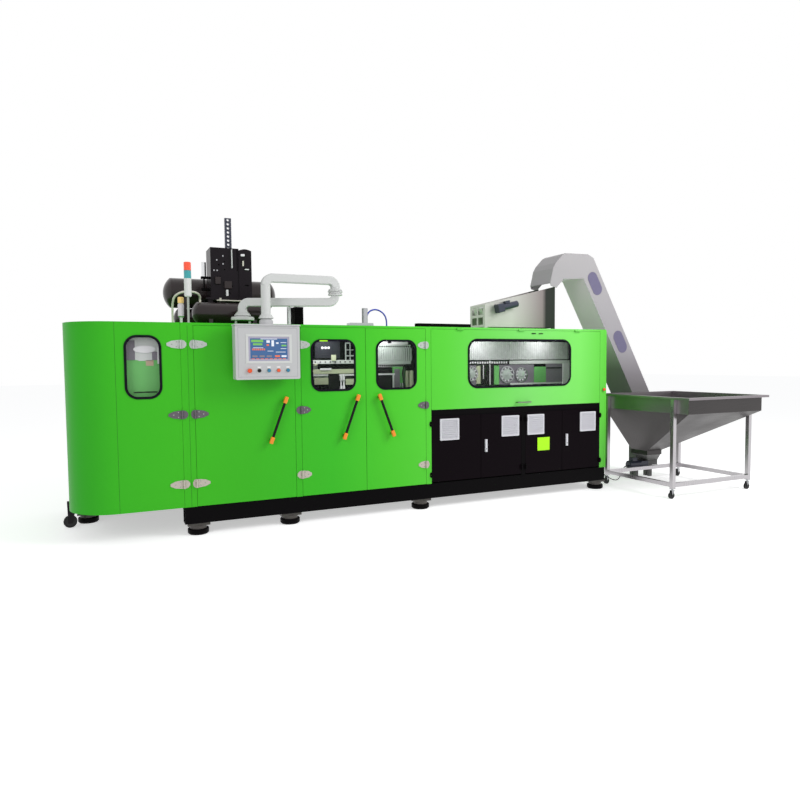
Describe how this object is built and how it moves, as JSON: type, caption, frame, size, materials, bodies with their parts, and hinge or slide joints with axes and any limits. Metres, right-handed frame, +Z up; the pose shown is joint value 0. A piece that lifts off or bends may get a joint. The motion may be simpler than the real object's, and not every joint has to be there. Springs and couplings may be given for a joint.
{
  "type": "blow moulding machine",
  "caption": "Long floor-standing stretch blow moulding machine with rounded end cover, hinged doors, oven, swing-arm operator panel, air tanks, inclined elevator and feed hopper.",
  "frame": {"origin": "middle of the machine's footprint on the floor", "axes": "+X along the machine towards the hopper, +Y back from the door side, +Z up"},
  "size_m": [8.216, 3.03, 3.38],
  "materials": {
    "green_paint": "satin",
    "black_paint": "satin",
    "tank_paint": "gloss",
    "dark_panel": "gloss",
    "white_paint": "satin",
    "grey_paint": "satin",
    "blue_paint": "satin",
    "stainless": "brushed",
    "steel": "machined",
    "hinge_chrome": "polished",
    "mould_aluminium": "machined",
    "tinted_pane": "clear",
    "handle_plastic": "matt",
    "red_plastic": "gloss",
    "lens_plastic": "gloss",
    "button_plastic": "gloss",
    "screen_glass": "gloss",
    "hose_rubber": "matt",
    "cable_rubber": "matt",
    "wheel_rubber": "matt"
  },
  "bodies": {
    "machine": {"base_frame": "black_paint", "levelling_feet": "steel", "cabinet_frame": "black_paint", "roof_panel": "green_paint", "fixed_panels": "green_paint", "rear_end_cover": "green_paint", "work_table": "black_paint", "frame_hinge_leaves": "hinge_chrome", "signal_tower": "grey_paint", "signal_lenses": "lens_plastic", "air_tanks": "tank_paint", "blow_tower": "tank_paint", "roof_actuators": "black_paint", "air_filter": "grey_paint", "blue_hose": "hose_rubber", "arm_base": "white_paint", "clamp_frame": "black_paint", "transfer_rail": "steel", "oven_lamps": "mould_aluminium", "preform_chain": "steel", "unscrambler_trough": "stainless", "elevator_casing": "stainless", "hopper_bin": "stainless", "hopper_frame": "stainless", "hopper_casters": "wheel_rubber", "feeder_motors": "blue_paint", "motor_cable": "cable_rubber"},
    "emergency_stop": {"emergency_stop": "red_plastic"},
    "lower_arm": {"lower_arm": "white_paint"},
    "upper_arm": {"upper_arm": "white_paint"},
    "operator_panel": {"panel_housing": "white_paint", "panel_screen": "screen_glass", "panel_pushbuttons": "button_plastic"},
    "panel_stop_button": {"panel_stop_button": "red_plastic"},
    "left_cover": {"left_cover": "green_paint", "cover_window": "tinted_pane"},
    "caster_fork": {"cover_caster_fork": "steel"},
    "caster_wheel": {"cover_caster_wheel": "wheel_rubber"},
    "door_1": {"door_1": "green_paint", "door_1_fittings": "handle_plastic"},
    "door_2": {"door_2": "green_paint", "door_2_window": "tinted_pane", "door_2_fittings": "handle_plastic"},
    "door_3": {"door_3": "green_paint", "door_3_window": "tinted_pane", "door_3_fittings": "handle_plastic"},
    "oven_cover": {"oven_cover": "green_paint", "oven_window": "tinted_pane"},
    "lower_door_1": {"lower_door_1": "dark_panel"},
    "lower_door_2": {"lower_door_2": "dark_panel"},
    "lower_door_3": {"lower_door_3": "dark_panel"},
    "lower_door_4": {"lower_door_4": "dark_panel"},
    "front_mould": {"front_mould": "mould_aluminium"},
    "rear_mould": {"rear_mould": "mould_aluminium"},
    "stretch_carriage": {"stretch_carriage": "steel"},
    "transfer_shuttle": {"transfer_shuttle": "mould_aluminium"},
    "drive_wheel": {"drive_wheel": "steel"},
    "idler_wheel": {"idler_wheel": "steel"},
    "front_roller": {"front_roller": "steel"},
    "rear_roller": {"rear_roller": "steel"}
  },
  "joints": [
    {"name": "left_cover_swing", "type": "hinge", "parent": "machine", "child": "left_cover", "pos_m": [-2.979, -0.399, 1.2], "axis": [0, 0, 1], "range_deg": [0, 90]},
    {"name": "caster_swivel", "type": "hinge", "parent": "left_cover", "child": "caster_fork", "pos_m": [-4.002, 0.575, 0.28], "axis": [0, 0, 1], "continuous": true},
    {"name": "caster_roll", "type": "hinge", "parent": "caster_fork", "child": "caster_wheel", "pos_m": [-4.042, 0.575, 0.066], "axis": [0, 1, 0], "continuous": true},
    {"name": "door_1_swing", "type": "hinge", "parent": "machine", "child": "door_1", "pos_m": [-2.857, -0.399, 1.2], "axis": [0, 0, -1], "range_deg": [0, 85]},
    {"name": "door_2_swing", "type": "hinge", "parent": "machine", "child": "door_2", "pos_m": [-1.767, -0.399, 1.2], "axis": [0, 0, -1], "range_deg": [0, 100]},
    {"name": "door_3_swing", "type": "hinge", "parent": "machine", "child": "door_3", "pos_m": [-0.277, -0.399, 1.2], "axis": [0, 0, 1], "range_deg": [0, 90]},
    {"name": "oven_cover_lift", "type": "hinge", "parent": "machine", "child": "oven_cover", "pos_m": [1.056, -0.399, 2.11], "axis": [-1, 0, 0], "range_deg": [0, 80]},
    {"name": "lower_door_1_swing", "type": "hinge", "parent": "machine", "child": "lower_door_1", "pos_m": [-0.207, -0.399, 0.7], "axis": [0, 0, -1], "range_deg": [0, 85]},
    {"name": "lower_door_2_swing", "type": "hinge", "parent": "machine", "child": "lower_door_2", "pos_m": [1.0624, -0.399, 0.7], "axis": [0, 0, 1], "range_deg": [0, 85]},
    {"name": "lower_door_3_swing", "type": "hinge", "parent": "machine", "child": "lower_door_3", "pos_m": [1.1244, -0.399, 0.7], "axis": [0, 0, -1], "range_deg": [0, 85]},
    {"name": "lower_door_4_swing", "type": "hinge", "parent": "machine", "child": "lower_door_4", "pos_m": [2.318, -0.399, 0.7], "axis": [0, 0, 1], "range_deg": [0, 85]},
    {"name": "arm_base_turn", "type": "hinge", "parent": "machine", "child": "lower_arm", "pos_m": [-2.337, -0.235, 2.2], "axis": [0, 0, 1], "range_deg": [-10, 5]},
    {"name": "arm_elbow_turn", "type": "hinge", "parent": "lower_arm", "child": "upper_arm", "pos_m": [-1.428, -0.555, 2.45], "axis": [0, 0, 1], "range_deg": [0, 153]},
    {"name": "panel_turn", "type": "hinge", "parent": "upper_arm", "child": "operator_panel", "pos_m": [-2.164, -0.545, 2.18], "axis": [0, 0, 1], "range_deg": [-8, 8]},
    {"name": "panel_stop_press", "type": "slide", "parent": "operator_panel", "child": "panel_stop_button", "axis": [0, 1, 0], "range_m": [0, 0.005], "stiffness_N_per_m": 1500},
    {"name": "emergency_stop_press", "type": "slide", "parent": "machine", "child": "emergency_stop", "axis": [0, 1, 0], "range_m": [0, 0.006], "stiffness_N_per_m": 1500},
    {"name": "front_mould_close", "type": "slide", "parent": "machine", "child": "front_mould", "axis": [0, 1, 0], "range_m": [0, 0.1095]},
    {"name": "rear_mould_close", "type": "slide", "parent": "machine", "child": "rear_mould", "axis": [0, -1, 0], "range_m": [0, 0.1095]},
    {"name": "stretch_down", "type": "slide", "parent": "machine", "child": "stretch_carriage", "axis": [0, 0, -1], "range_m": [0, 0.095]},
    {"name": "shuttle_travel", "type": "slide", "parent": "machine", "child": "transfer_shuttle", "axis": [1, 0, 0], "range_m": [0, 0.42]},
    {"name": "drive_wheel_turn", "type": "hinge", "parent": "machine", "child": "drive_wheel", "pos_m": [0.058, 0.265, 1.3], "axis": [0, 0, 1], "continuous": true},
    {"name": "idler_wheel_turn", "type": "hinge", "parent": "machine", "child": "idler_wheel", "pos_m": [1.998, 0.265, 1.3], "axis": [0, 0, 1], "continuous": true},
    {"name": "front_roller_turn", "type": "hinge", "parent": "machine", "child": "front_roller", "pos_m": [0.843, 0.1905, 2.37926], "axis": [0.9719, 0, 0.2354], "continuous": true},
    {"name": "rear_roller_turn", "type": "hinge", "parent": "machine", "child": "rear_roller", "pos_m": [0.843, 0.3045, 2.37926], "axis": [0.9719, 0, 0.2354], "continuous": true}
  ],
  "couplings": [
    {"joint": "arm_elbow_turn", "follows": "door_1_swing", "ratio": 1.8},
    {"joint": "rear_mould_close", "follows": "front_mould_close", "ratio": 1},
    {"joint": "idler_wheel_turn", "follows": "drive_wheel_turn", "ratio": 1},
    {"joint": "rear_roller_turn", "follows": "front_roller_turn", "ratio": -1}
  ]
}
